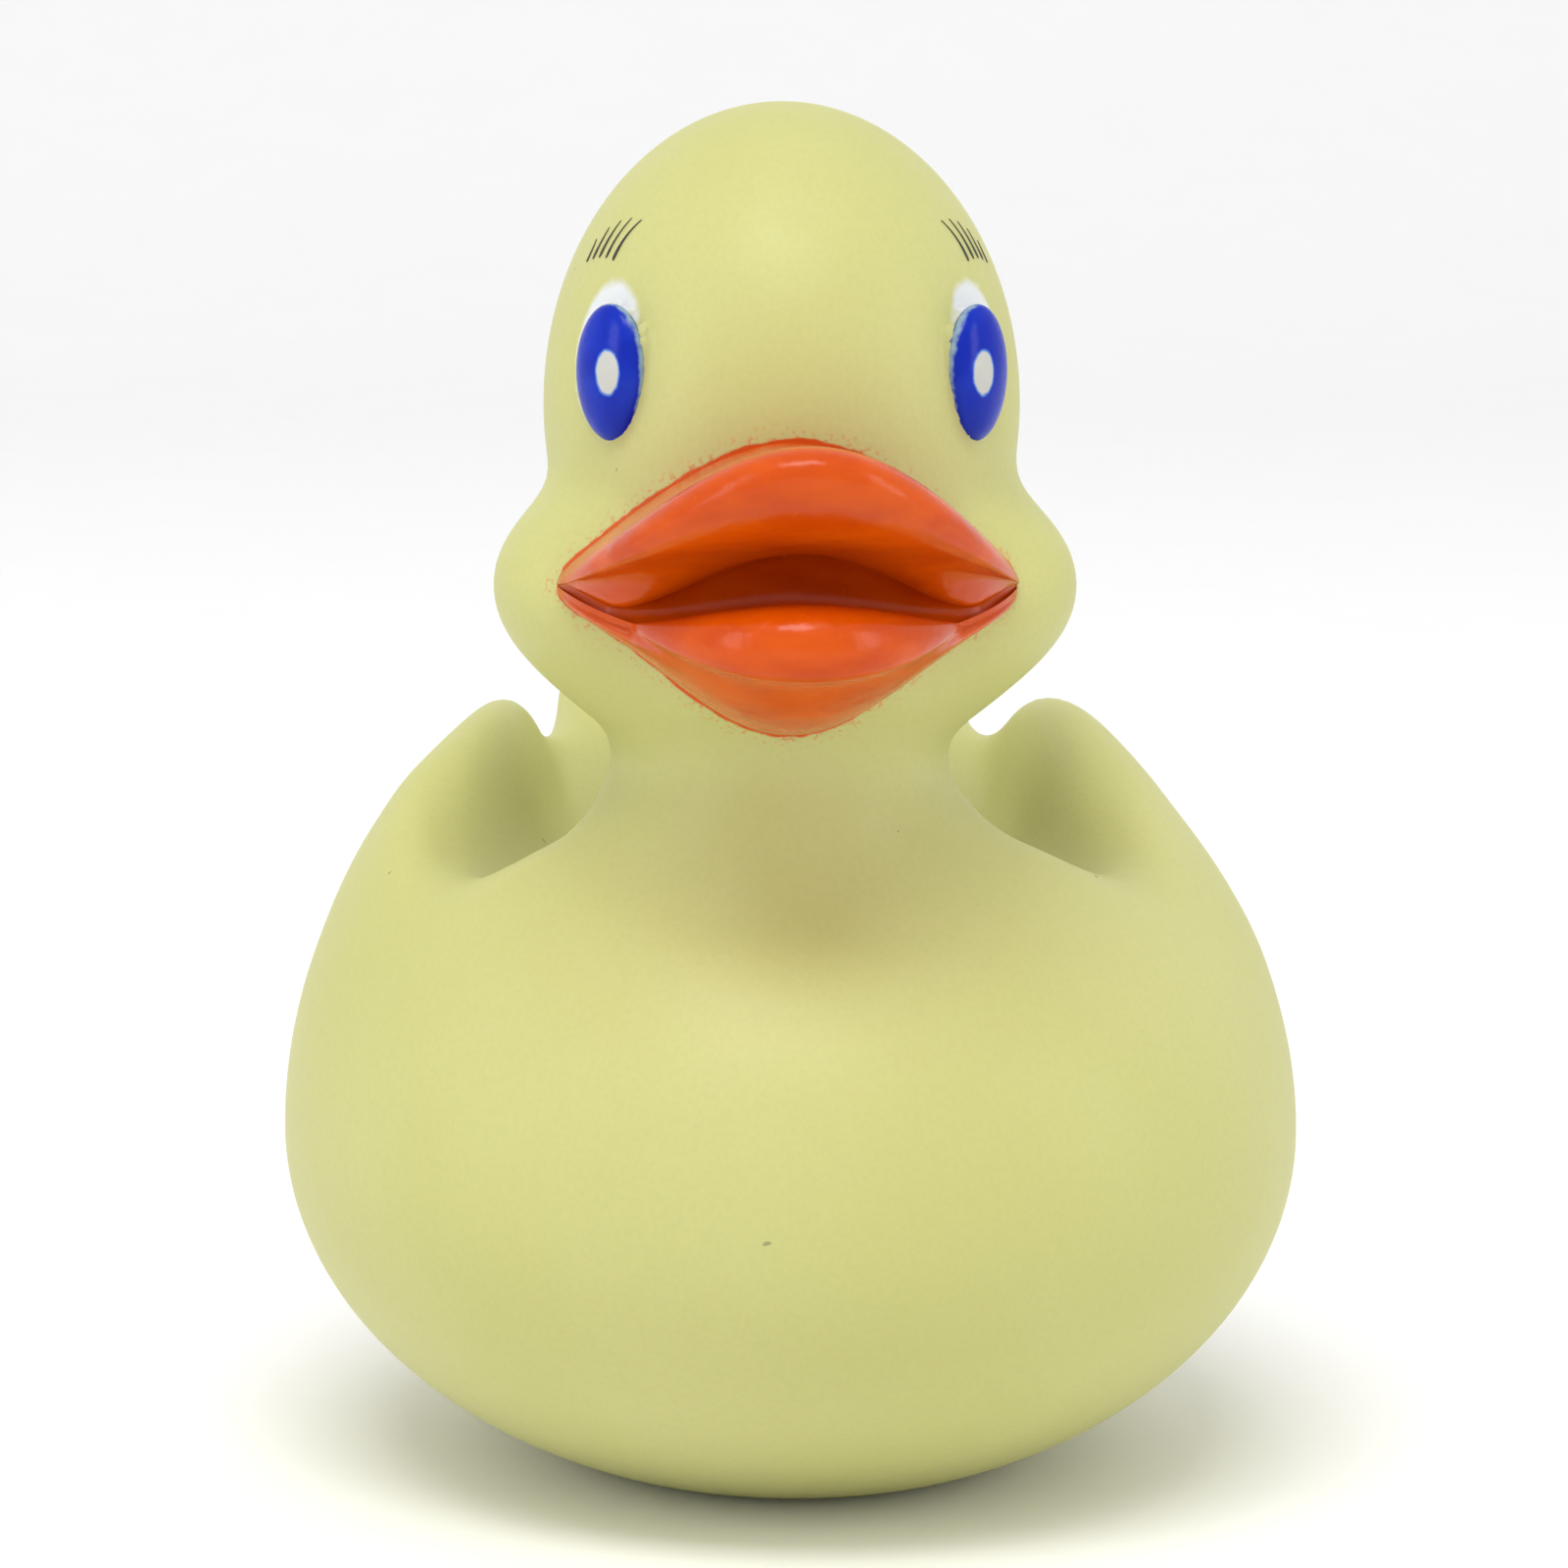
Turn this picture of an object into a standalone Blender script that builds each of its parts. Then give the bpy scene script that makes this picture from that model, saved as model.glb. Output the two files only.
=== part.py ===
"""A bath duck, cast in one piece of soft vinyl: a hollow skin with a vent in its flat base.

The outer form is one smooth field in millimetres, built from ellipsoids that flow into each other and a
bill that is lofted from side to side. Rough balls are joined, remeshed and moved onto the field's zero
level. The inside is the same field, one wall thickness in. +X is the duck's left, -Y its front and +Z up.
The origin is on the base, under the middle of the body.
"""

import bmesh
import bpy
import numpy as np
from mathutils import Matrix

MM = 0.001

# Body
BODY_CENTRE = (0.0, 3.0, 23.2)
BODY_HALF_WIDTH = 33.05
BODY_FRONT, BODY_BACK = 36.0, 38.0
BODY_DEPTH = 23.7  # below the centre, before the base is cut flat
CHEST_RISE, BACK_RISE = 26.2, 33.0  # above the centre, at the chest and from the wings back
RISE_FROM_Y, RISE_LENGTH = -12.0, 20.0
BASE_Z, BASE_BLEND = 1.3, 0.8  # the cut, which the finished duck rests on at Z 0

# The hollow behind the neck, between the wings
HOLLOW_Z, HOLLOW_DEPTH = 60.0, 21.5
HOLLOW_WIDE, HOLLOW_NARROW = 24.5, 16.8  # half widths at y = 0 and at HOLLOW_NARROW_Y
HOLLOW_NARROW_Y = 30.0
HOLLOW_FRONT_Y = -9.0
HOLLOW_POWER = 4.0  # a squarer section than an ellipse
HOLLOW_FRONT_BLEND, HOLLOW_BLEND = 6.0, 4.0

# Wings, rump and tail: centre, radii, then turn about Z and tilt about X in degrees, and the blend
WING = ((19.2, 13.5, 37.3), (3.9, 16.0, 11.2), 9.0, 14.0, 3.5)
RUMP = ((0.0, 27.0, 35.6), (17.6, 16.0, 10.0), 0.0, 35.0, 5.0)
TAIL = ((0.0, 35.5, 46.5), (14.0, 11.0, 5.5), 0.0, 45.0, 5.0)

# Neck and head
NECK = ((0.0, -8.0, 44.0), (10.3, 12.5, 18.0), 0.0, 0.0, 5.0)
SKULL = ((0.0, -8.0, 71.4), (14.9, 17.5, 18.8), 0.0, 0.0, 0.0)
FACE = ((0.0, -13.0, 60.5), (11.0, 12.0, 8.5), 0.0, 0.0, 5.0)
JAW = ((0.0, -10.0, 59.0), (15.6, 13.0, 11.0), 0.0, 0.0, 3.0)
CHEEK = ((11.6, -13.0, 60.6), (6.5, 8.0, 5.6), 0.0, 0.0, 3.5)
HEAD_BLEND = 3.0
HEAD_LEAN = -1.65  # the moulding leans to its right from the shoulders up
LEAN_FROM_Z, LEAN_HEIGHT = 34.0, 14.0
LEAN_FROM_Y, LEAN_LENGTH = 16.0, 20.0

# Eyes: an oval bump in a shallow socket
EYE = ((11.1, -19.0, 74.3), (2.9, 1.3, 4.15), 52.0, 0.0, 0.5)
SOCKET_DEPTH, SOCKET_SIZE = 0.55, (4.2, 5.0, 6.5)

# Bill: a closed outline at the middle, as (forward, up, strand), drawn in to the corner of the mouth
BILL_HALF_WIDTH = 14.1
BILL_CORNER = (19.5, 61.4)
BILL_CORNER_RADIUS = 2.0
BILL_X = -0.35  # from the middle of the head
BILL_HEART = (27.0, 61.4)
MOUTH_FLOOR = (30.0, 59.0)
BILL_OUTLINE = (
    (12.0, 70.6, "root"), (25.0, 70.7, "root"), (34.0, 70.8, "upper"), (39.4, 72.5, "upper"),
    (40.8, 69.4, "upper"), (37.4, 66.4, "upper"), (33.0, 65.2, "upper"), (30.6, 64.5, "mouth"),
    (28.0, 64.2, "mouth"), (26.6, 62.0, "mouth"), (28.0, 59.4, "mouth"), (33.0, 62.3, "lip"),
    (38.0, 62.2, "lip"), (38.0, 57.2, "lip"), (34.2, 57.8, "lip"), (31.5, 55.2, "under"),
    (23.5, 52.1, "under"), (12.0, 51.9, "under"),
)
MOUTH_SHARE, LIP_SHARE = 0.62, 0.70  # of the bill's half width
BILL_BLEND = 1.0
BILL_REACH = 6.0  # the bill's field is worked out this near it
STEPS_PER_POINT, BILL_SLICES = 4, 96

# Wall and vent
WALL = 2.0
VENT_RADIUS, VENT_Y = 1.6, 6.0

# Meshing: cell sizes from coarse to fine, and the share of the triangles that is kept
OUTER_CELLS, OUTER_SHARE = (1.0, 0.8), 0.09
INNER_CELLS, INNER_SHARE = (1.6, 1.6), 0.15
FIT_ROUNDS = 6
FLAT_WITHIN = 0.02

# The balls that the two surfaces start from, before they are moved onto their fields
ROUGH_DUCK = (
    (BODY_CENTRE, (BODY_HALF_WIDTH, 37.0, 20.5), 0.0, 0.0), ((0.0, -8.0, 30.0), (24.0, 24.0, 17.0), 0.0, 0.0),
    WING, RUMP, TAIL, NECK, SKULL, FACE, JAW, CHEEK, EYE,
)
ROUGH_INSIDE = (
    (BODY_CENTRE, (BODY_HALF_WIDTH - WALL, 35.0, 18.5), 0.0, 0.0), ((0.0, -8.0, 30.0), (20.0, 20.0, 15.0), 0.0, 0.0),
    ((0.0, -9.0, 46.0), (8.0, 9.0, 14.0), 0.0, 0.0), (SKULL[0], (12.9, 15.5, 16.8), 0.0, 0.0),
    (JAW[0], (12.6, 11.0, 8.0), 0.0, 0.0),
)

VINYL_COLOUR, VINYL_ROUGHNESS, VINYL_DEPTH = (0.69, 0.67, 0.27), 0.5, 0.1


def eased(share):
    """0 to 1 with level ends."""
    share = np.clip(share, 0, 1)
    return share * share * (3 - 2 * share)


def union(a, b, blend):
    share = np.clip(0.5 + 0.5 * (b - a) / blend, 0, 1)
    return b * (1 - share) + a * share - blend * share * (1 - share)


def common(a, b, blend):
    return -union(-a, -b, blend)


def local(points, centre, turn, tilt):
    """The points about this centre, on axes turned about Z and then tilted about X."""
    x, y, z = (points - np.array(centre)).T
    turn, tilt = np.radians((turn, tilt))
    across = np.cos(turn) * x + np.sin(turn) * y
    along = np.cos(turn) * y - np.sin(turn) * x
    return np.stack(
        (across, np.cos(tilt) * along + np.sin(tilt) * z, np.cos(tilt) * z - np.sin(tilt) * along), 1
    )


def ball(points, radii):
    """Near enough the distance to an ellipsoid about the origin. radii may be one row for each point."""
    scaled = points / radii
    size = np.linalg.norm(scaled, axis=1) + 1e-9
    return size * (size - 1) / (np.linalg.norm(scaled / radii, axis=1) + 1e-9)


def lump(points, shape):
    centre, radii, turn, tilt, _ = shape
    return ball(local(points, centre, turn, tilt), np.array(radii))


def belly(points):
    """An egg whose back rises further than its chest."""
    offset = points - np.array(BODY_CENTRE)
    rise = CHEST_RISE + (BACK_RISE - CHEST_RISE) * eased((points[:, 1] - RISE_FROM_Y) / RISE_LENGTH)
    radii = np.stack(
        (
            np.full(len(points), BODY_HALF_WIDTH),
            np.where(offset[:, 1] < 0, BODY_FRONT, BODY_BACK),
            np.where(offset[:, 2] < 0, BODY_DEPTH, rise),
        ),
        1,
    )
    return ball(offset, radii)


def hollow(points):
    """A squarish trough that narrows towards the tail and ends behind the shoulders."""
    x, y, z = points.T
    width = HOLLOW_WIDE + (HOLLOW_NARROW - HOLLOW_WIDE) * np.clip(y / HOLLOW_NARROW_Y, -0.3, 1.3)
    u = np.abs(x) / width
    v = np.abs(z - HOLLOW_Z) / HOLLOW_DEPTH
    power = HOLLOW_POWER
    size = (u**power + v**power) ** (1 / power) + 1e-9
    slope = np.hypot(u ** (power - 1) / width, v ** (power - 1) / HOLLOW_DEPTH) / size ** (power - 1)
    return common((size - 1) / (slope + 1e-9), HOLLOW_FRONT_Y - y, HOLLOW_FRONT_BLEND)


def leaned(points, way=1):
    """The points with the moulding's sideways lean put in, or taken out where way is -1."""
    rise = eased((points[:, 2] - LEAN_FROM_Z) / LEAN_HEIGHT)
    forward = eased((LEAN_FROM_Y - points[:, 1]) / LEAN_LENGTH)
    moved = points.copy()
    moved[:, 0] += way * HEAD_LEAN * rise * forward
    return moved


def halved(points):
    """The points folded onto the duck's left half."""
    return points * np.array((-1, 1, 1)) ** (points[:, :1] < 0)


def core(points):
    """The duck without eyes and bill, for points with no lean. The base isn't cut yet."""
    half = halved(points)
    body = common(belly(points), -hollow(points), HOLLOW_BLEND)
    body = union(body, lump(half, WING), WING[-1])
    tail = union(lump(points, RUMP), lump(points, TAIL), TAIL[-1])
    body = union(body, tail, RUMP[-1])
    body = union(body, lump(points, NECK), NECK[-1])
    head = union(lump(points, SKULL), lump(points, FACE), FACE[-1])
    head = union(head, lump(points, JAW), JAW[-1])
    head = union(head, lump(half, CHEEK), CHEEK[-1])
    return union(body, head, HEAD_BLEND)


def loop_weights(count, steps):
    """Weights of a closed cubic B-spline through count control points, a row for each of its points."""
    t = np.arange(steps) / steps
    pieces = ((1 - t) ** 3, 3 * t**3 - 6 * t**2 + 4, 3 * t + 3 * t**2 - 3 * t**3 + 1, t**3)
    weights = np.zeros((count * steps, count))
    for start in range(count):
        for offset, piece in enumerate(pieces):
            weights[start * steps : (start + 1) * steps, (start + offset - 1) % count] += piece / 6
    return weights


def bill_slices():
    """The bill's outline at even steps from the middle to the corner: (slice, point, forward and up)."""
    s = np.linspace(0, 1, BILL_SLICES)[:, None]
    plan = (1 - s**2) ** 0.6
    shares = {
        "upper": np.hstack((plan, (1 - s**2) ** 1.25)),
        "root": np.hstack((plan, (1 - s**2) ** 1.6)),
        "under": np.hstack((plan, (1 - s**2) ** 2.1)),
    }
    for strand, width in (("mouth", MOUTH_SHARE), ("lip", LIP_SHARE)):
        height = np.clip(1 - (s / width) ** 2, 0, 1) ** (0.8 if strand == "mouth" else 1.0)
        shares[strand] = np.hstack((height**0.7, height))
    corner, heart, floor = map(np.array, (BILL_CORNER, BILL_HEART, MOUTH_FLOOR))
    thick = BILL_CORNER_RADIUS * np.sqrt(1 - s**10)
    floor_line = np.hstack((corner[0] + (floor[0] - corner[0]) * plan, floor[1] + (corner[1] - floor[1]) * s**2.5))
    controls = []
    for forward, up, strand in BILL_OUTLINE:
        point = np.array((forward, up))
        away = (point - heart) / np.linalg.norm(point - heart)
        if strand in ("upper", "root", "under"):
            end = corner + thick * away
            controls.append(end + (point - end) * shares[strand])
        else:
            end = floor_line + 0.6 * thick * away * s**2
            controls.append(end + (point - floor) * shares[strand])
    weights = loop_weights(len(controls), STEPS_PER_POINT)
    return np.einsum("pc,csd->spd", weights, np.array(controls))


def loop_distance(points, loops):
    """Signed distance in the plane from each point to its own closed outline."""
    ends = np.roll(loops, -1, axis=1)
    sides = ends - loops
    offsets = points[:, None] - loops
    along = (offsets * sides).sum(2) / ((sides**2).sum(2) + 1e-12)
    gaps = offsets - sides * np.clip(along, 0, 1)[..., None]
    nearest = np.sqrt((gaps**2).sum(2).min(1))
    crosses = (loops[..., 1] > points[:, None, 1]) != (ends[..., 1] > points[:, None, 1])
    rise = np.where(crosses, sides[..., 1], 1.0)
    reach = loops[..., 0] + (points[:, None, 1] - loops[..., 1]) * sides[..., 0] / rise
    inside = (crosses & (points[:, None, 0] < reach)).sum(1) % 2 == 1
    return np.where(inside, -nearest, nearest)


SLICES = bill_slices()


def bill(points):
    """The distance to the bill, and BILL_REACH wherever it is further than that."""
    x, y, z = np.abs(points[:, 0] - BILL_X), points[:, 1], points[:, 2]
    low = SLICES.min((0, 1)) - BILL_REACH
    high = SLICES.max((0, 1)) + BILL_REACH
    near = (x < BILL_HALF_WIDTH + BILL_REACH) & (-y > low[0]) & (-y < high[0]) & (z > low[1]) & (z < high[1])
    found = np.full(len(points), BILL_REACH)
    place = np.clip(x[near] / BILL_HALF_WIDTH, 0, 1) * (BILL_SLICES - 1)
    first = np.minimum(place.astype(int), BILL_SLICES - 2)
    share = (place - first)[:, None, None]
    flat = np.stack((-y[near], z[near]), 1)
    gap = np.empty(len(flat))
    batch = 20000
    for start in range(0, len(flat), batch):
        rows = slice(start, start + batch)
        loops = SLICES[first[rows]] * (1 - share[rows]) + SLICES[first[rows] + 1] * share[rows]
        gap[rows] = loop_distance(flat[rows], loops)
    beyond = np.maximum(x[near] - BILL_HALF_WIDTH, 0)
    found[near] = np.hypot(np.maximum(gap, 0), beyond) + np.minimum(gap, 0)
    return np.minimum(found, BILL_REACH)


def eye_local(points):
    """The points in the axes of the nearer eye: across, outwards (negative is out) and up."""
    centre, _, turn, tilt, _ = EYE
    return local(halved(points), centre, turn, tilt)


def skin(points):
    """The duck's outer surface is where this is 0. Inside is negative."""
    straight = leaned(points, -1)
    eye = eye_local(straight)
    field = core(straight) + SOCKET_DEPTH * np.exp(-((eye / np.array(SOCKET_SIZE)) ** 2).sum(1))
    field = union(field, ball(eye, np.array(EYE[1])), EYE[-1])
    field = union(field, bill(straight), BILL_BLEND)
    return common(field, BASE_Z - points[:, 2], BASE_BLEND)


def cavity(points):
    """The inner surface is where this is 0: one wall in from the core, with a floor over the base."""
    inside = core(leaned(points, -1)) + WALL
    return common(inside, BASE_Z + WALL - points[:, 2], BASE_BLEND)


def moved_onto(field, points, rounds, longest=0.3):
    """The points after Newton steps down the field's slope, none longer than the given one."""
    for _ in range(rounds):
        value, slope = value_and_slope(field, points)
        step = value[:, None] * slope / ((slope**2).sum(1, keepdims=True) + 1e-6)
        size = np.linalg.norm(step, axis=1, keepdims=True)
        points = points - step * np.minimum(1, longest / (size + 1e-9))
    return points


def value_and_slope(field, points, reach=0.2):
    shifts = reach * np.eye(3)
    slope = [(field(points + shift) - field(points - shift)) / (2 * reach) for shift in shifts]
    return field(points), np.stack(slope, 1)


def ball_mesh(bm, centre, radii, turn=0.0, tilt=0.0):
    """Adds one ball, and its mirror image where it is off the middle."""
    for side in (1, -1) if centre[0] else (1,):
        place = Matrix.Translation((side * centre[0], centre[1], centre[2]))
        place = place @ Matrix.Rotation(np.radians(side * turn), 4, "Z") @ Matrix.Rotation(np.radians(tilt), 4, "X")
        place = place @ Matrix.Diagonal((*radii, 1.0))
        bmesh.ops.create_uvsphere(bm, u_segments=32, v_segments=20, radius=1.0, matrix=place)


def bill_mesh(bm):
    """Adds a skin over the bill's slices, from one corner of the mouth to the other."""
    across = np.linspace(-1, 1, 2 * BILL_SLICES - 1)
    outlines = np.concatenate((SLICES[::-1], SLICES[1:]))
    rings = []
    for share, outline in zip(across, outlines):
        side = BILL_X + share * BILL_HALF_WIDTH
        rings.append([bm.verts.new((side, -forward, up)) for forward, up in outline])
    for ring, other in zip(rings, rings[1:]):
        for i in range(len(ring)):
            bm.faces.new((ring[i - 1], ring[i], other[i], other[i - 1]))
    bm.faces.new(rings[0])
    bm.faces.new(reversed(rings[-1]))


def rough(name, balls, with_bill):
    mesh = bpy.data.meshes.new(name)
    bm = bmesh.new()
    for shape in balls:
        ball_mesh(bm, *shape[:4])
    if with_bill:
        bill_mesh(bm)
    bm.to_mesh(mesh)
    bm.free()
    set_points(mesh, leaned(points_of(mesh)))
    return mesh


def points_of(mesh):
    flat = np.empty(len(mesh.vertices) * 3, np.float32)
    mesh.vertices.foreach_get("co", flat)
    return flat.reshape(-1, 3).astype(np.float64)


def set_points(mesh, points):
    mesh.vertices.foreach_set("co", points.astype(np.float32).ravel())
    mesh.update()


def evaluated(mesh, kind, **settings):
    """The mesh after one modifier."""
    helper = bpy.data.objects.new("helper", mesh)
    bpy.context.scene.collection.objects.link(helper)
    modifier = helper.modifiers.new(kind.title(), kind)
    for key, value in settings.items():
        setattr(modifier, key, value)
    made = bpy.data.meshes.new_from_object(helper.evaluated_get(bpy.context.evaluated_depsgraph_get()))
    bpy.data.objects.remove(helper)
    return made


def fitted(mesh, field, cells):
    """The mesh remeshed at each cell size in turn, and moved onto the field each time."""
    for cell in cells:
        mesh = evaluated(mesh, "REMESH", mode="VOXEL", voxel_size=cell)
        set_points(mesh, moved_onto(field, points_of(mesh), FIT_ROUNDS))
        mesh = evaluated(mesh, "SMOOTH", factor=0.5, iterations=2)
        set_points(mesh, moved_onto(field, points_of(mesh), FIT_ROUNDS))
    return mesh


def material(name, colour, roughness, subsurface=0.0):
    made = bpy.data.materials.new(name)
    made.use_nodes = True
    shader = made.node_tree.nodes["Principled BSDF"]
    shader.inputs["Base Color"].default_value = (*colour, 1.0)
    shader.inputs["Roughness"].default_value = roughness
    shader.inputs["Metallic"].default_value = 0.0
    shader.inputs["Subsurface Weight"].default_value = subsurface
    return made


def grounded(points):
    """The points with the base pulled exactly flat, and down to Z 0."""
    points[:, 2] -= BASE_Z
    points[points[:, 2] < FLAT_WITHIN, 2] = 0.0
    return points


def solid(name, mesh, collection, share):
    """An object in metres, thinned to this share of its triangles."""
    set_points(mesh, grounded(points_of(mesh)) * MM)
    made = bpy.data.objects.new(name, mesh)
    collection.objects.link(made)
    thin = made.modifiers.new("Thin", "DECIMATE")
    thin.ratio = share
    thin.use_collapse_triangulate = True
    return made


def cut_by(target, cutter):
    cut = target.modifiers.new("Cut " + cutter.name, "BOOLEAN")
    cut.operation = "DIFFERENCE"
    cut.solver = "EXACT"
    cut.object = cutter
    cutter.hide_render = True
    cutter.display_type = "WIRE"


def vent(collection):
    """A plain round hole from under the base into the inside."""
    mesh = bpy.data.meshes.new("vent")
    bm = bmesh.new()
    length = 3 * WALL
    bmesh.ops.create_cone(
        bm, cap_ends=True, segments=24, radius1=VENT_RADIUS, radius2=VENT_RADIUS, depth=length,
        matrix=Matrix.Translation((0.0, VENT_Y, 0.5 * WALL)),
    )
    bmesh.ops.scale(bm, vec=(MM, MM, MM), verts=bm.verts)
    bm.to_mesh(mesh)
    bm.free()
    made = bpy.data.objects.new("vent", mesh)
    collection.objects.link(made)
    return made


def main():
    for leftover in list(bpy.data.objects):
        bpy.data.objects.remove(leftover, do_unlink=True)
    parts = bpy.data.collections.new("rubber_duck")
    cutters = bpy.data.collections.new("cutters")
    for collection in (parts, cutters):
        bpy.context.scene.collection.children.link(collection)

    outside = fitted(rough("duck_body", ROUGH_DUCK, True), skin, OUTER_CELLS)
    inside = fitted(rough("cavity", ROUGH_INSIDE, False), cavity, INNER_CELLS)
    duck = solid("duck_body", outside, parts, OUTER_SHARE)
    duck.data.materials.append(material("vinyl_yellow", VINYL_COLOUR, VINYL_ROUGHNESS, VINYL_DEPTH))
    cut_by(duck, solid("cavity", inside, cutters, INNER_SHARE))
    cut_by(duck, vent(cutters))
    duck.data.shade_smooth()


main()
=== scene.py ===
"""The bath duck's looks: its moulded skin, the painted bill, eyes and brows, and a plain pale studio."""

import bmesh
import bpy
import numpy as np
from mathutils import Matrix, Vector


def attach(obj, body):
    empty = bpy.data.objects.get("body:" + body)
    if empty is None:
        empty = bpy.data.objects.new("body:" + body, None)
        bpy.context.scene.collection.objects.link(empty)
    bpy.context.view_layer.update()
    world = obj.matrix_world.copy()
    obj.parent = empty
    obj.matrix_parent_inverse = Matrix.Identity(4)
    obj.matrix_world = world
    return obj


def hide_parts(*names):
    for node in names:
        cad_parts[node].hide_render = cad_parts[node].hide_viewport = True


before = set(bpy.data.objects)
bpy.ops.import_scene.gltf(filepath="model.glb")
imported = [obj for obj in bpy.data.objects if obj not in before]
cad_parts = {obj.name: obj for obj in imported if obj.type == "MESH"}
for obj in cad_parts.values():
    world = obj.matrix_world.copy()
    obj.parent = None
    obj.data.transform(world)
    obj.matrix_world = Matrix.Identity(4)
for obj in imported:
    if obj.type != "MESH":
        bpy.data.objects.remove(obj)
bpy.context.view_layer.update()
rng = np.random.default_rng(7)

MM = 0.001

# Body
BODY_CENTRE = (0.0, 3.0, 23.2)
BODY_HALF_WIDTH = 33.05
BODY_FRONT, BODY_BACK = 36.0, 38.0
BODY_DEPTH = 23.7  # below the centre, before the base is cut flat
CHEST_RISE, BACK_RISE = 26.2, 33.0  # above the centre, at the chest and from the wings back
RISE_FROM_Y, RISE_LENGTH = -12.0, 20.0
BASE_Z, BASE_BLEND = 1.3, 0.8  # the cut, which the finished duck rests on at Z 0

# The hollow behind the neck, between the wings
HOLLOW_Z, HOLLOW_DEPTH = 60.0, 21.5
HOLLOW_WIDE, HOLLOW_NARROW = 24.5, 16.8  # half widths at y = 0 and at HOLLOW_NARROW_Y
HOLLOW_NARROW_Y = 30.0
HOLLOW_FRONT_Y = -9.0
HOLLOW_POWER = 4.0  # a squarer section than an ellipse
HOLLOW_FRONT_BLEND, HOLLOW_BLEND = 6.0, 4.0

# Wings, rump and tail: centre, radii, then turn about Z and tilt about X in degrees, and the blend
WING = ((19.2, 13.5, 37.3), (3.9, 16.0, 11.2), 9.0, 14.0, 3.5)
RUMP = ((0.0, 27.0, 35.6), (17.6, 16.0, 10.0), 0.0, 35.0, 5.0)
TAIL = ((0.0, 35.5, 46.5), (14.0, 11.0, 5.5), 0.0, 45.0, 5.0)

# Neck and head
NECK = ((0.0, -8.0, 44.0), (10.3, 12.5, 18.0), 0.0, 0.0, 5.0)
SKULL = ((0.0, -8.0, 71.4), (14.9, 17.5, 18.8), 0.0, 0.0, 0.0)
FACE = ((0.0, -13.0, 60.5), (11.0, 12.0, 8.5), 0.0, 0.0, 5.0)
JAW = ((0.0, -10.0, 59.0), (15.6, 13.0, 11.0), 0.0, 0.0, 3.0)
CHEEK = ((11.6, -13.0, 60.6), (6.5, 8.0, 5.6), 0.0, 0.0, 3.5)
HEAD_BLEND = 3.0
HEAD_LEAN = -1.65  # the moulding leans to its right from the shoulders up
LEAN_FROM_Z, LEAN_HEIGHT = 34.0, 14.0
LEAN_FROM_Y, LEAN_LENGTH = 16.0, 20.0

# Eyes: an oval bump in a shallow socket
EYE = ((11.1, -19.0, 74.3), (2.9, 1.3, 4.15), 52.0, 0.0, 0.5)
SOCKET_DEPTH, SOCKET_SIZE = 0.55, (4.2, 5.0, 6.5)

# Bill: a closed outline at the middle, as (forward, up, strand), drawn in to the corner of the mouth
BILL_HALF_WIDTH = 14.1
BILL_CORNER = (19.5, 61.4)
BILL_CORNER_RADIUS = 2.0
BILL_X = -0.35  # from the middle of the head
BILL_HEART = (27.0, 61.4)
MOUTH_FLOOR = (30.0, 59.0)
BILL_OUTLINE = (
    (12.0, 70.6, "root"), (25.0, 70.7, "root"), (34.0, 70.8, "upper"), (39.4, 72.5, "upper"),
    (40.8, 69.4, "upper"), (37.4, 66.4, "upper"), (33.0, 65.2, "upper"), (30.6, 64.5, "mouth"),
    (28.0, 64.2, "mouth"), (26.6, 62.0, "mouth"), (28.0, 59.4, "mouth"), (33.0, 62.3, "lip"),
    (38.0, 62.2, "lip"), (38.0, 57.2, "lip"), (34.2, 57.8, "lip"), (31.5, 55.2, "under"),
    (23.5, 52.1, "under"), (12.0, 51.9, "under"),
)
MOUTH_SHARE, LIP_SHARE = 0.80, 0.70  # of the bill's half width
BILL_BLEND = 1.0
BILL_REACH = 6.0  # the bill's field is worked out this near it
STEPS_PER_POINT, BILL_SLICES = 8, 96

# Meshing
BODY_CELLS = (0.9, 0.55)
FIT_ROUNDS = 6
ROUGH_DUCK = (
    (BODY_CENTRE, (BODY_HALF_WIDTH, 37.0, 20.5), 0.0, 0.0), ((0.0, -8.0, 30.0), (24.0, 24.0, 17.0), 0.0, 0.0),
    WING, RUMP, TAIL, NECK, SKULL, FACE, JAW, CHEEK, EYE,
)
BILL_RINGS = 241
PAINT_THICKNESS = 0.05

# The faint sink mark on the forehead
SINK_CENTRE, SINK_SIZE, SINK_DEPTH = (0.4, -20.8, 84.2), (1.6, 2.0, 1.2), 0.12

# Brow strokes
STROKES, STROKE_STEPS = 5, 17
STROKE_WIDTH, STROKE_LIFT = 0.30, 0.03

# Colours, linear
VINYL = (0.54, 0.535, 0.215, 1.0)
VINYL_DEEP = (0.515, 0.512, 0.185, 1.0)
VINYL_GRAIN = (0.40, 0.40, 0.13, 1.0)
SPECK = (0.14, 0.12, 0.05, 1.0)
WHITE = (0.70, 0.72, 0.74, 1.0)
ORANGE = (0.62, 0.080, 0.0005, 1.0)
ORANGE_DEEP = (0.52, 0.053, 0.0003, 1.0)
ORANGE_LIGHT = (0.68, 0.12, 0.003, 1.0)
BLUE = (0.003, 0.018, 0.36, 1.0)
BLUE_LIGHT = (0.005, 0.028, 0.42, 1.0)
BLUE_HALO = (0.16, 0.36, 0.78, 1.0)
# Painted highlight: a pale blue-grey band along the iris's edge, where the eye bump meets the skin
RIM_HIGHLIGHT = (0.26, 0.38, 0.45, 1.0)
PUPIL = (0.52, 0.53, 0.49, 1.0)
BLACK = (0.012, 0.011, 0.009, 1.0)
BLACK_WORN = (0.05, 0.048, 0.03, 1.0)

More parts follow.
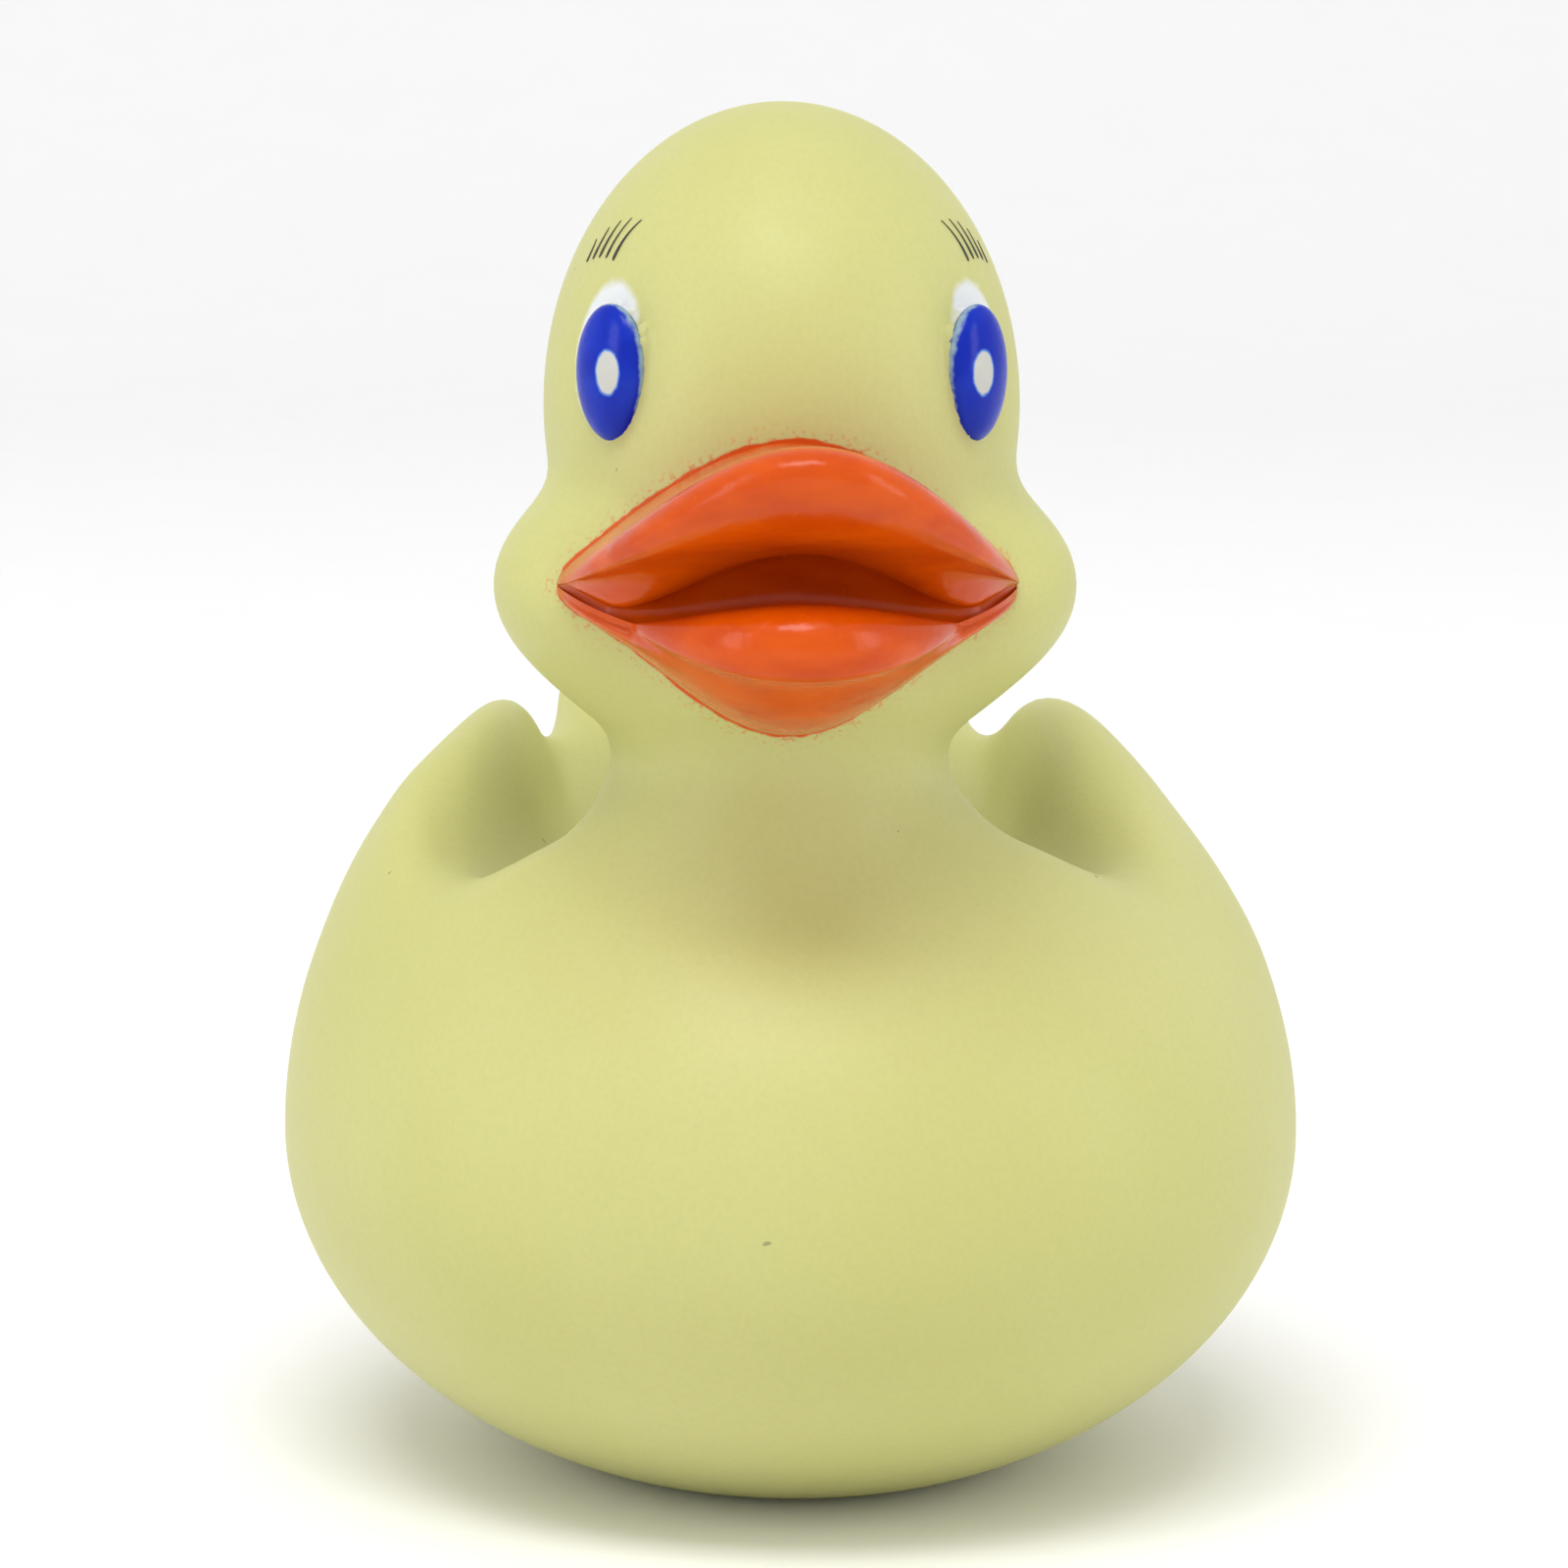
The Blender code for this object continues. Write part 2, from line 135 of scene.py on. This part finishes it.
# Studio, in metres unless a name in mm says so
SWEEP_FRONT, SWEEP_BACK, SWEEP_BEND, SWEEP_TOP, SWEEP_SIDE = 1.5, 0.7, 0.5, 2.0, 2.0
WORLD_LIGHT = 0.75
SOFTBOXES = (
    ("key_light", (-0.12, -0.5, 1.0), (0.7, 0.35), 6.2),
    ("left_light", (-0.9, -0.35, 0.35), (0.3, 0.6), 1.6),
    ("right_light", (0.9, -0.35, 0.35), (0.3, 0.6), 1.6),
)
CAMERA_LENS = 142.2
CAMERA_DISTANCE, CAMERA_TURN, CAMERA_RISE, CAMERA_ROLL = 400.0, 4.0, 9.0, 0.4
CAMERA_TARGET = (-0.76, 0.0, 44.65)  # mm


def eased(share):
    """0 to 1 with level ends."""
    share = np.clip(share, 0, 1)
    return share * share * (3 - 2 * share)


def union(a, b, blend):
    share = np.clip(0.5 + 0.5 * (b - a) / blend, 0, 1)
    return b * (1 - share) + a * share - blend * share * (1 - share)


def common(a, b, blend):
    return -union(-a, -b, blend)


def local(points, centre, turn, tilt):
    """The points about this centre, on axes turned about Z and then tilted about X."""
    x, y, z = (points - np.array(centre)).T
    turn, tilt = np.radians((turn, tilt))
    across = np.cos(turn) * x + np.sin(turn) * y
    along = np.cos(turn) * y - np.sin(turn) * x
    return np.stack(
        (across, np.cos(tilt) * along + np.sin(tilt) * z, np.cos(tilt) * z - np.sin(tilt) * along), 1
    )


def ball(points, radii):
    """Near enough the distance to an ellipsoid about the origin. radii may be one row for each point."""
    scaled = points / radii
    size = np.linalg.norm(scaled, axis=1) + 1e-9
    return size * (size - 1) / (np.linalg.norm(scaled / radii, axis=1) + 1e-9)


def lump(points, shape):
    centre, radii, turn, tilt, _ = shape
    return ball(local(points, centre, turn, tilt), np.array(radii))


def belly(points):
    """An egg whose back rises further than its chest."""
    offset = points - np.array(BODY_CENTRE)
    rise = CHEST_RISE + (BACK_RISE - CHEST_RISE) * eased((points[:, 1] - RISE_FROM_Y) / RISE_LENGTH)
    radii = np.stack(
        (
            np.full(len(points), BODY_HALF_WIDTH),
            np.where(offset[:, 1] < 0, BODY_FRONT, BODY_BACK),
            np.where(offset[:, 2] < 0, BODY_DEPTH, rise),
        ),
        1,
    )
    return ball(offset, radii)


def hollow(points):
    """A squarish trough that narrows towards the tail and ends behind the shoulders."""
    x, y, z = points.T
    width = HOLLOW_WIDE + (HOLLOW_NARROW - HOLLOW_WIDE) * np.clip(y / HOLLOW_NARROW_Y, -0.3, 1.3)
    u = np.abs(x) / width
    v = np.abs(z - HOLLOW_Z) / HOLLOW_DEPTH
    power = HOLLOW_POWER
    size = (u**power + v**power) ** (1 / power) + 1e-9
    slope = np.hypot(u ** (power - 1) / width, v ** (power - 1) / HOLLOW_DEPTH) / size ** (power - 1)
    return common((size - 1) / (slope + 1e-9), HOLLOW_FRONT_Y - y, HOLLOW_FRONT_BLEND)


def leaned(points, way=1):
    """The points with the moulding's sideways lean put in, or taken out where way is -1."""
    rise = eased((points[:, 2] - LEAN_FROM_Z) / LEAN_HEIGHT)
    forward = eased((LEAN_FROM_Y - points[:, 1]) / LEAN_LENGTH)
    moved = points.copy()
    moved[:, 0] += way * HEAD_LEAN * rise * forward
    return moved


def halved(points):
    """The points folded onto the duck's left half."""
    return points * np.array((-1, 1, 1)) ** (points[:, :1] < 0)


def core(points):
    """The duck without eyes and bill, for points with no lean. The base isn't cut yet."""
    half = halved(points)
    body = common(belly(points), -hollow(points), HOLLOW_BLEND)
    body = union(body, lump(half, WING), WING[-1])
    tail = union(lump(points, RUMP), lump(points, TAIL), TAIL[-1])
    body = union(body, tail, RUMP[-1])
    body = union(body, lump(points, NECK), NECK[-1])
    head = union(lump(points, SKULL), lump(points, FACE), FACE[-1])
    head = union(head, lump(points, JAW), JAW[-1])
    head = union(head, lump(half, CHEEK), CHEEK[-1])
    return union(body, head, HEAD_BLEND)


def loop_weights(count, steps):
    """Weights of a closed cubic B-spline through count control points, a row for each of its points."""
    t = np.arange(steps) / steps
    pieces = ((1 - t) ** 3, 3 * t**3 - 6 * t**2 + 4, 3 * t + 3 * t**2 - 3 * t**3 + 1, t**3)
    weights = np.zeros((count * steps, count))
    for start in range(count):
        for offset, piece in enumerate(pieces):
            weights[start * steps : (start + 1) * steps, (start + offset - 1) % count] += piece / 6
    return weights


def bill_slices(shares_out):
    """The bill's outline at each share of the way out from its middle: (slice, point, forward and up)."""
    s = shares_out[:, None]
    plan = (1 - s**2) ** 0.6
    shares = {
        "upper": np.hstack((plan, (1 - s**2) ** 1.25)),
        "root": np.hstack((plan, (1 - s**2) ** 1.6)),
        "under": np.hstack((plan, (1 - s**2) ** 2.1)),
    }
    for strand, width in (("mouth", MOUTH_SHARE), ("lip", LIP_SHARE)):
        height = np.clip(1 - (s / width) ** 2, 0, 1) ** (1.6 if strand == "mouth" else 1.0)
        shares[strand] = np.hstack((height**0.7, height))
    corner, heart, floor = map(np.array, (BILL_CORNER, BILL_HEART, MOUTH_FLOOR))
    thick = BILL_CORNER_RADIUS * np.sqrt(1 - s**10)
    floor_line = np.hstack((corner[0] + (floor[0] - corner[0]) * plan, floor[1] + (corner[1] - floor[1]) * s**2.5))
    controls = []
    for forward, up, strand in BILL_OUTLINE:
        point = np.array((forward, up))
        away = (point - heart) / np.linalg.norm(point - heart)
        if strand in ("upper", "root", "under"):
            end = corner + thick * away
            controls.append(end + (point - end) * shares[strand])
        else:
            end = floor_line + 0.6 * thick * away * s**2
            controls.append(end + (point - floor) * shares[strand])
    weights = loop_weights(len(controls), STEPS_PER_POINT)
    return np.einsum("pc,csd->spd", weights, np.array(controls))


def loop_distance(points, loops):
    """Signed distance in the plane from each point to its own closed outline."""
    ends = np.roll(loops, -1, axis=1)
    sides = ends - loops
    offsets = points[:, None] - loops
    along = (offsets * sides).sum(2) / ((sides**2).sum(2) + 1e-12)
    gaps = offsets - sides * np.clip(along, 0, 1)[..., None]
    nearest = np.sqrt((gaps**2).sum(2).min(1))
    crosses = (loops[..., 1] > points[:, None, 1]) != (ends[..., 1] > points[:, None, 1])
    rise = np.where(crosses, sides[..., 1], 1.0)
    reach = loops[..., 0] + (points[:, None, 1] - loops[..., 1]) * sides[..., 0] / rise
    inside = (crosses & (points[:, None, 0] < reach)).sum(1) % 2 == 1
    return np.where(inside, -nearest, nearest)


SLICES = bill_slices(np.linspace(0, 1, BILL_SLICES))


def bill(points):
    """The distance to the bill, and BILL_REACH wherever it is further than that."""
    x, y, z = np.abs(points[:, 0] - BILL_X), points[:, 1], points[:, 2]
    low = SLICES.min((0, 1)) - BILL_REACH
    high = SLICES.max((0, 1)) + BILL_REACH
    near = (x < BILL_HALF_WIDTH + BILL_REACH) & (-y > low[0]) & (-y < high[0]) & (z > low[1]) & (z < high[1])
    found = np.full(len(points), BILL_REACH)
    place = np.clip(x[near] / BILL_HALF_WIDTH, 0, 1) * (BILL_SLICES - 1)
    first = np.minimum(place.astype(int), BILL_SLICES - 2)
    share = (place - first)[:, None, None]
    flat = np.stack((-y[near], z[near]), 1)
    gap = np.empty(len(flat))
    batch = 20000
    for start in range(0, len(flat), batch):
        rows = slice(start, start + batch)
        loops = SLICES[first[rows]] * (1 - share[rows]) + SLICES[first[rows] + 1] * share[rows]
        gap[rows] = loop_distance(flat[rows], loops)
    beyond = np.maximum(x[near] - BILL_HALF_WIDTH, 0)
    found[near] = np.hypot(np.maximum(gap, 0), beyond) + np.minimum(gap, 0)
    return np.minimum(found, BILL_REACH)


def eye_local(points):
    """The points in the axes of the nearer eye: across, outwards (negative is out) and up."""
    centre, _, turn, tilt, _ = EYE
    return local(halved(points), centre, turn, tilt)


def moved_onto(field, points, rounds, longest=0.3):
    """The points after Newton steps down the field's slope, none longer than the given one."""
    for _ in range(rounds):
        value, slope = value_and_slope(field, points)
        step = value[:, None] * slope / ((slope**2).sum(1, keepdims=True) + 1e-6)
        size = np.linalg.norm(step, axis=1, keepdims=True)
        points = points - step * np.minimum(1, longest / (size + 1e-9))
    return points


def value_and_slope(field, points, reach=0.2):
    shifts = reach * np.eye(3)
    slope = [(field(points + shift) - field(points - shift)) / (2 * reach) for shift in shifts]
    return field(points), np.stack(slope, 1)


def ball_mesh(bm, centre, radii, turn=0.0, tilt=0.0):
    """Adds one ball, and its mirror image where it is off the middle."""
    for side in (1, -1) if centre[0] else (1,):
        place = Matrix.Translation((side * centre[0], centre[1], centre[2]))
        place = place @ Matrix.Rotation(np.radians(side * turn), 4, "Z") @ Matrix.Rotation(np.radians(tilt), 4, "X")
        place = place @ Matrix.Diagonal((*radii, 1.0))
        bmesh.ops.create_uvsphere(bm, u_segments=32, v_segments=20, radius=1.0, matrix=place)


def rough(name, balls):
    mesh = bpy.data.meshes.new(name)
    bm = bmesh.new()
    for shape in balls:
        ball_mesh(bm, *shape[:4])
    bm.to_mesh(mesh)
    bm.free()
    set_points(mesh, leaned(points_of(mesh)))
    return mesh


def points_of(mesh):
    flat = np.empty(len(mesh.vertices) * 3, np.float32)
    mesh.vertices.foreach_get("co", flat)
    return flat.reshape(-1, 3).astype(np.float64)


def set_points(mesh, points):
    mesh.vertices.foreach_set("co", points.astype(np.float32).ravel())
    mesh.update()


def evaluated(mesh, kind, **settings):
    """The mesh after one modifier."""
    helper = bpy.data.objects.new("helper", mesh)
    bpy.context.scene.collection.objects.link(helper)
    modifier = helper.modifiers.new(kind.title(), kind)
    for key, value in settings.items():
        setattr(modifier, key, value)
    made = bpy.data.meshes.new_from_object(helper.evaluated_get(bpy.context.evaluated_depsgraph_get()))
    bpy.data.objects.remove(helper)
    return made


def fitted(mesh, field, cells):
    """The mesh remeshed at each cell size in turn, and moved onto the field each time."""
    for cell in cells:
        mesh = evaluated(mesh, "REMESH", mode="VOXEL", voxel_size=cell)
        set_points(mesh, moved_onto(field, points_of(mesh), FIT_ROUNDS))
        mesh = evaluated(mesh, "SMOOTH", factor=0.5, iterations=2)
        set_points(mesh, moved_onto(field, points_of(mesh), FIT_ROUNDS))
    return mesh


# ---- Pieces


def with_attribute(mesh, name, kind, values):
    layer = mesh.attributes.new(name, kind, "POINT")
    layer.data.foreach_set("vector" if kind == "FLOAT_VECTOR" else "value", values.astype(np.float32).ravel())


def piece(name, mesh, slot, look):
    """Adds a piece, given in mm, that rides on the duck."""
    points = points_of(mesh)
    points[:, 2] -= BASE_Z
    points[:, 2] = np.maximum(points[:, 2], 0.0)
    set_points(mesh, points * MM)
    mesh.materials.clear()
    mesh.materials.append(look)
    mesh.shade_smooth()
    made = bpy.data.objects.new(name, mesh)
    bpy.context.scene.collection.objects.link(made)
    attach(made, "root")
    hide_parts("duck_body")
    return made


def dimpled(points):
    """The skin without the bill, with the forehead's sink mark."""
    straight = leaned(points, -1)
    eye = eye_local(straight)
    field = core(straight) + SOCKET_DEPTH * np.exp(-((eye / np.array(SOCKET_SIZE)) ** 2).sum(1))
    field = union(field, ball(eye, np.array(EYE[1])), EYE[-1])
    sink = (straight - np.array(SINK_CENTRE)) / np.array(SINK_SIZE)
    field = field + SINK_DEPTH * np.exp(-(sink**2).sum(1))
    return common(field, BASE_Z - points[:, 2], BASE_BLEND)


def body_mesh():
    mesh = fitted(rough("duck_skin", ROUGH_DUCK), dimpled, BODY_CELLS)
    straight = leaned(points_of(mesh), -1)
    with_attribute(mesh, "eye", "FLOAT_VECTOR", eye_local(straight))
    with_attribute(mesh, "bill_gap", "FLOAT", bill(straight))
    return mesh


def bill_skin():
    """The bill's own skin, with its slices closest together at the corners."""
    mesh = bpy.data.meshes.new("bill")
    bm = bmesh.new()
    share = np.sin(np.linspace(-1, 1, BILL_RINGS) * np.pi / 2)
    outlines = bill_slices(np.abs(share))
    rings = []
    for side, outline in zip(share, outlines):
        x = BILL_X + side * BILL_HALF_WIDTH
        rings.append([bm.verts.new((x, -forward, up)) for forward, up in outline])
    for ring, other in zip(rings, rings[1:]):
        for i in range(len(ring)):
            bm.faces.new((ring[i - 1], ring[i], other[i], other[i - 1]))
    bmesh.ops.remove_doubles(bm, verts=bm.verts, dist=0.002)
    bmesh.ops.recalc_face_normals(bm, faces=bm.faces)
    bm.to_mesh(mesh)
    bm.free()
    set_points(mesh, leaned(points_of(mesh)))
    return mesh


def eye_place(side):
    """From the eye's own axes, in mm, to the duck's. side is 1 for its left eye and -1 for its right."""
    centre, _, turn, _, _ = EYE
    place = Matrix.Translation((side * centre[0], centre[1], centre[2]))
    return place @ Matrix.Rotation(np.radians(side * turn), 4, "Z") @ Matrix.Diagonal((side, 1.0, 1.0, 1.0))


def eye_mesh(name, side):
    mesh = bpy.data.meshes.new(name)
    bm = bmesh.new()
    radii = [radius + PAINT_THICKNESS for radius in EYE[1]]
    bmesh.ops.create_uvsphere(bm, u_segments=96, v_segments=72, radius=1.0, matrix=Matrix.Diagonal((*radii, 1.0)))
    own = np.array([tuple(vert.co) for vert in bm.verts])
    bm.transform(eye_place(side))
    bmesh.ops.recalc_face_normals(bm, faces=bm.faces)
    bm.to_mesh(mesh)
    bm.free()
    with_attribute(mesh, "eye", "FLOAT_VECTOR", own)
    set_points(mesh, leaned(points_of(mesh)))
    return mesh


def brow_curves():
    """The middle line of each brow stroke, from foot to tip, as (across, up) in the eye's axes."""
    t = np.linspace(0, 1, STROKE_STEPS)[:, None]
    for i in range(STROKES):
        foot = np.array((2.3 + 0.86 * i, 6.1 + 0.3 * np.sin(np.pi * (i + 0.5) / STROKES)))
        tip = np.array((1.15 + 1.17 * i, 9.45 - 0.17 * (i - 1) ** 2))
        bend = foot + np.array((-0.1, 0.55 * (tip[1] - foot[1])))
        yield (1 - t) ** 2 * foot + 2 * t * (1 - t) * bend + t**2 * tip


def brow_mesh(name, side):
    """Five thin tapered strokes of paint, laid on the skin."""
    mesh = bpy.data.meshes.new(name)
    bm = bmesh.new()
    place = np.array(eye_place(side))
    for line in brow_curves():
        along = np.gradient(line, axis=0)
        along /= np.linalg.norm(along, axis=1, keepdims=True)
        across = np.stack((along[:, 1], -along[:, 0]), 1)
        t = np.linspace(0, 1, STROKE_STEPS)
        width = STROKE_WIDTH * (1 - 0.72 * t) * np.minimum(1, 0.45 + 6 * t) * rng.uniform(0.88, 1.1)
        flat = []
        for offset in (-1.0, -0.5, 0.0, 0.5, 1.0):
            flat.append(line + across * (offset * width / 2)[:, None])
        flat = np.concatenate(flat)
        points = np.stack((flat[:, 0], np.full(len(flat), 3.0), flat[:, 1], np.ones(len(flat))), 1)
        points = leaned((points @ place.T)[:, :3])
        outer = moved_onto(lambda p: dimpled(p) - STROKE_LIFT, points, 30, 0.5)
        rows = [bm.verts.new(tuple(point)) for point in outer]
        for column in range(4):
            for row in range(STROKE_STEPS - 1):
                a = column * STROKE_STEPS + row
                b = a + STROKE_STEPS
                bm.faces.new((rows[a], rows[a + 1], rows[b + 1], rows[b]))
    bm.to_mesh(mesh)
    bm.free()
    return evaluated(mesh, "SOLIDIFY", thickness=0.03, offset=0.0)


# ---- Looks


class Look:
    """A material with a Principled shader, and short ways to add nodes."""

    def __init__(self, name, **values):
        self.material = bpy.data.materials.new(name)
        self.material.use_nodes = True
        self.tree = self.material.node_tree
        self.shader = self.tree.nodes["Principled BSDF"]
        for key, value in values.items():
            self.shader.inputs[key.replace("_", " ")].default_value = value

    def node(self, kind, inputs=(), **settings):
        made = self.tree.nodes.new("ShaderNode" + kind)
        for key, value in settings.items():
            setattr(made, key, value)
        for key, value in dict(inputs).items():
            if isinstance(value, bpy.types.NodeSocket):
                self.tree.links.new(value, made.inputs[key])
            else:
                made.inputs[key].default_value = value
        return made

    def attribute(self, name, output):
        return self.node("Attribute", attribute_name=name).outputs[output]

    def math(self, operation, *values):
        return self.node("Math", enumerate(values), operation=operation).outputs[0]

    def vector(self, operation, *values):
        made = self.node("VectorMath", enumerate(values), operation=operation)
        return made.outputs["Value" if operation == "LENGTH" else "Vector"]

    def between(self, value, low, high, to_low=0.0, to_high=1.0):
        inputs = {"Value": value, "From Min": low, "From Max": high, "To Min": to_low, "To Max": to_high}
        return self.node("MapRange", inputs, interpolation_type="SMOOTHSTEP").outputs["Result"]

    def noise(self, scale, detail=2.0, stretch=(1.0, 1.0, 1.0), seed=0.0):
        """Smooth noise of 0 to 1 on the object's own metres. scale is in features per metre."""
        place = self.node("TexCoord").outputs["Object"]
        moved = self.node("Mapping", {"Vector": place, "Location": (seed, 0, 0), "Scale": stretch}).outputs["Vector"]
        return self.node("TexNoise", {"Vector": moved, "Scale": scale, "Detail": detail}).outputs["Fac"]

    def mix(self, share, a, b):
        made = self.node("Mix", data_type="RGBA")
        for socket, value in zip((made.inputs[0], made.inputs[6], made.inputs[7]), (share, a, b)):
            if isinstance(value, bpy.types.NodeSocket):
                self.tree.links.new(value, socket)
            else:
                socket.default_value = value
        return made.outputs[2]

    def inside(self, centre, radii, soft, ragged=None):
        """1 inside an ellipse of the eye's own axes (across, up), falling to 0 over soft mm."""
        own = self.vector("SUBTRACT", self.attribute("eye", "Vector"), (centre[0], 0.0, centre[1]))
        own = self.vector("MULTIPLY", own, (1 / radii[0], 0.0, 1 / radii[1]))
        gap = self.math("SUBTRACT", self.vector("LENGTH", own), 1.0)
        gap = self.math("MULTIPLY", gap, min(radii))
        if ragged is not None:
            gap = self.math("ADD", gap, ragged)
        return self.between(gap, -soft / 2, soft / 2, 1.0, 0.0)

    def link(self, value, name):
        self.tree.links.new(value, self.shader.inputs[name])

    def bump(self, height, strength, distance):
        inputs = {"Height": height, "Strength": strength, "Distance": distance}
        self.link(self.node("Bump", inputs).outputs["Normal"], "Normal")


def vinyl_look():
    look = Look(
        "vinyl",
        Roughness=0.46,
        Specular_IOR_Level=0.3,
        Subsurface_Weight=0.32,
        Subsurface_Radius=(1.0, 0.9, 0.35),
        Subsurface_Scale=0.003,
    )
    cloud = look.between(look.noise(38.0, 3.0), 0.3, 0.7)
    colour = look.mix(cloud, VINYL, VINYL_DEEP)
    grain = look.between(look.noise(2600.0, 2.0, seed=3.0), 0.35, 0.75)
    colour = look.mix(look.math("MULTIPLY", grain, 0.13), colour, VINYL_GRAIN)
    dirt = look.between(look.noise(900.0, 1.0, seed=5.0), 0.815, 0.83)
    colour = look.mix(look.math("MULTIPLY", dirt, 0.55), colour, SPECK)
    edge = look.math("MULTIPLY_ADD", look.noise(900.0, 2.0, seed=9.0), 0.5, -0.25)
    white = look.inside((1.2, 1.0), (3.1, 4.4), 0.55, edge)
    colour = look.mix(look.math("MULTIPLY", white, 0.93), colour, WHITE)
    gap = look.math("ADD", look.attribute("bill_gap", "Fac"), look.math("MULTIPLY", edge, 0.9))
    colour = look.mix(look.between(gap, 0.12, 0.3, 1.0, 0.0), colour, ORANGE)
    dust = look.math("MULTIPLY", look.between(gap, 0.2, 1.5, 0.5, 0.0), look.between(look.noise(3200.0, 1.0, seed=4.0), 0.55, 0.7))
    colour = look.mix(dust, colour, ORANGE)
    look.link(colour, "Base Color")
    look.bump(look.noise(1500.0, 3.0, seed=2.0), 0.12, 0.0002)
    return look.material


def bill_look():
    look = Look("paint_orange", Roughness=0.22, Specular_IOR_Level=0.24)
    streak = look.between(look.noise(170.0, 3.0, stretch=(1.0, 1.0, 2.4)), 0.3, 0.7)
    colour = look.mix(streak, ORANGE, ORANGE_DEEP)
    fleck = look.between(look.noise(1900.0, 2.0, seed=6.0), 0.62, 0.8)
    colour = look.mix(look.math("MULTIPLY", fleck, 0.25), colour, ORANGE_LIGHT)
    look.link(colour, "Base Color")
    dabs = look.math("ADD", look.noise(260.0, 2.0, seed=1.0), look.math("MULTIPLY", look.noise(1300.0, 2.0, seed=8.0), 0.18))
    look.bump(dabs, 0.35, 0.0006)
    return look.material


def eye_look():
    look = Look("paint_blue", Roughness=0.2, Specular_IOR_Level=0.16)
    tint = look.between(look.noise(420.0, 2.0), 0.35, 0.7)
    colour = look.mix(tint, BLUE, BLUE_LIGHT)
    edge = look.math("MULTIPLY_ADD", look.noise(1800.0, 2.0, seed=2.0), 0.16, -0.08)
    # Everything outside this ellipse, a thin band at the iris's edge, gets a painted highlight colour
    inside_of_rim_highlight = look.inside((0.0, 0.0), (2.91, 4.16), 0.12, edge)
    colour = look.mix(inside_of_rim_highlight, RIM_HIGHLIGHT, colour)
    halo = look.inside((-0.98, 0.14), (0.95, 1.43), 0.12, edge)
    colour = look.mix(look.math("MULTIPLY", halo, 0.6), colour, BLUE_HALO)
    pupil = look.inside((-1.0, 0.15), (0.84, 1.3), 0.1, edge)
    colour = look.mix(pupil, colour, PUPIL)
    look.link(colour, "Base Color")
    look.bump(look.noise(900.0, 2.0, seed=7.0), 0.2, 0.0002)
    return look.material


def brow_look():
    look = Look("paint_black", Roughness=0.5)
    colour = look.mix(look.between(look.noise(2500.0, 2.0), 0.3, 0.7), BLACK, BLACK_WORN)
    look.link(colour, "Base Color")
    return look.material


def floor_look():
    look = Look("studio_paper", Roughness=0.9)
    colour = look.mix(look.noise(60.0, 2.0), (0.93, 0.93, 0.93, 1.0), (0.95, 0.95, 0.95, 1.0))
    look.link(colour, "Base Color")
    return look.material


# ---- Studio


def sweep():
    """A pale paper sweep: flat under the duck, curving up behind it."""
    bend = np.linspace(0, np.pi / 2, 24)
    profile = [(-SWEEP_FRONT, 0.0)] + [
        (SWEEP_BACK + SWEEP_BEND * np.sin(a), SWEEP_BEND * (1 - np.cos(a))) for a in bend
    ] + [(SWEEP_BACK + SWEEP_BEND, SWEEP_TOP)]
    bm = bmesh.new()
    lines = [[bm.verts.new((side * SWEEP_SIDE, y, z)) for y, z in profile] for side in (-1, 1)]
    for i in range(len(profile) - 1):
        bm.faces.new((lines[0][i], lines[1][i], lines[1][i + 1], lines[0][i + 1]))
    mesh = bpy.data.meshes.new("studio_sweep")
    bm.to_mesh(mesh)
    bm.free()
    mesh.materials.append(floor_look())
    mesh.shade_smooth()
    made = bpy.data.objects.new("studio_sweep", mesh)
    bpy.context.scene.collection.objects.link(made)


def aimed(made, place, target, roll=0.0):
    made.location = place
    facing = (Vector(target) - Vector(place)).to_track_quat("-Z", "Y")
    made.rotation_euler = (facing.to_matrix() @ Matrix.Rotation(roll, 3, "Z")).to_euler()
    bpy.context.scene.collection.objects.link(made)


def softbox(name, place, size, power):
    light = bpy.data.lights.new(name, "AREA")
    light.shape = "RECTANGLE"
    light.size, light.size_y = size
    light.energy = power
    aimed(bpy.data.objects.new(name, light), place, (0.0, 0.0, 0.045))


def camera():
    lens = bpy.data.cameras.new("camera")
    lens.lens = CAMERA_LENS
    lens.clip_start = 0.01
    made = bpy.data.objects.new("camera", lens)
    turn, rise = np.radians((CAMERA_TURN, CAMERA_RISE))
    target = np.array(CAMERA_TARGET) * MM
    away = np.array((-np.sin(turn) * np.cos(rise), -np.cos(turn) * np.cos(rise), np.sin(rise)))
    aimed(made, target + CAMERA_DISTANCE * MM * away, target, np.radians(CAMERA_ROLL))
    bpy.context.scene.camera = made


def studio():
    world = bpy.data.worlds.new("studio")
    bpy.context.scene.world = world
    world.use_nodes = True
    world.node_tree.nodes["Background"].inputs["Color"].default_value = (1.0, 1.0, 1.0, 1.0)
    world.node_tree.nodes["Background"].inputs["Strength"].default_value = WORLD_LIGHT
    for name, place, size, power in SOFTBOXES:
        softbox(name, place, size, power)
    sweep()
    camera()
    bpy.context.scene.view_settings.view_transform = "Standard"


def main():
    skin_mesh = body_mesh()
    piece("duck_skin", skin_mesh, "vinyl", vinyl_look())
    piece("bill_paint", bill_skin(), "paint_orange", bill_look())
    blue, black = eye_look(), brow_look()
    for side, name in ((1, "left"), (-1, "right")):
        piece("iris_" + name, eye_mesh("iris_" + name, side), "paint_blue", blue)
        piece("brow_" + name, brow_mesh("brow_" + name, side), "paint_black", black)
    studio()


main()
